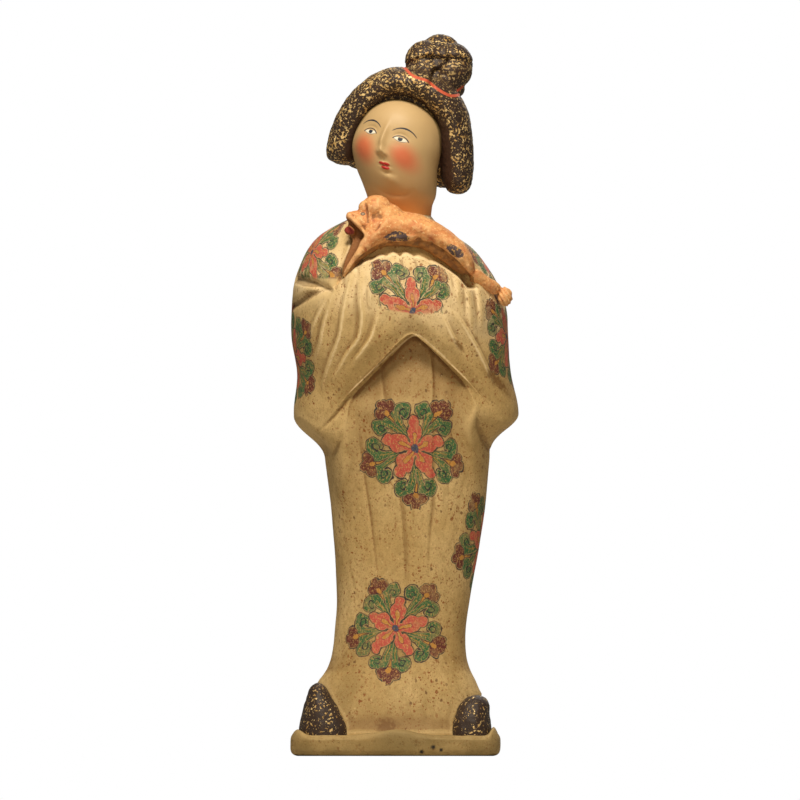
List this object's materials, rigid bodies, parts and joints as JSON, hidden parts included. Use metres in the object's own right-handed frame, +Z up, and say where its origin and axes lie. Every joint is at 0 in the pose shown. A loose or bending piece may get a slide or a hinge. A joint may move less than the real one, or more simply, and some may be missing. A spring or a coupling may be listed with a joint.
{
  "type": "court lady figurine",
  "caption": "Standing earthenware figurine of a court lady in a long pleated robe, holding a small dog on her covered forearms, on a flat slab.",
  "frame": {"origin": "middle of the slab's flat underside, below the figure", "axes": "+Z up along the figure's height, -Y the way the lady faces, +X to the viewer's right"},
  "size_m": [0.1422, 0.1154, 0.4508],
  "materials": {
    "painted_earthenware": "matte cold-painted fired clay, cream-tan slip with painted rosettes, black-brown hair and shoes, orange dog"
  },
  "bodies": {
    "root": {"court_lady": "painted_earthenware"}
  },
  "joints": []
}
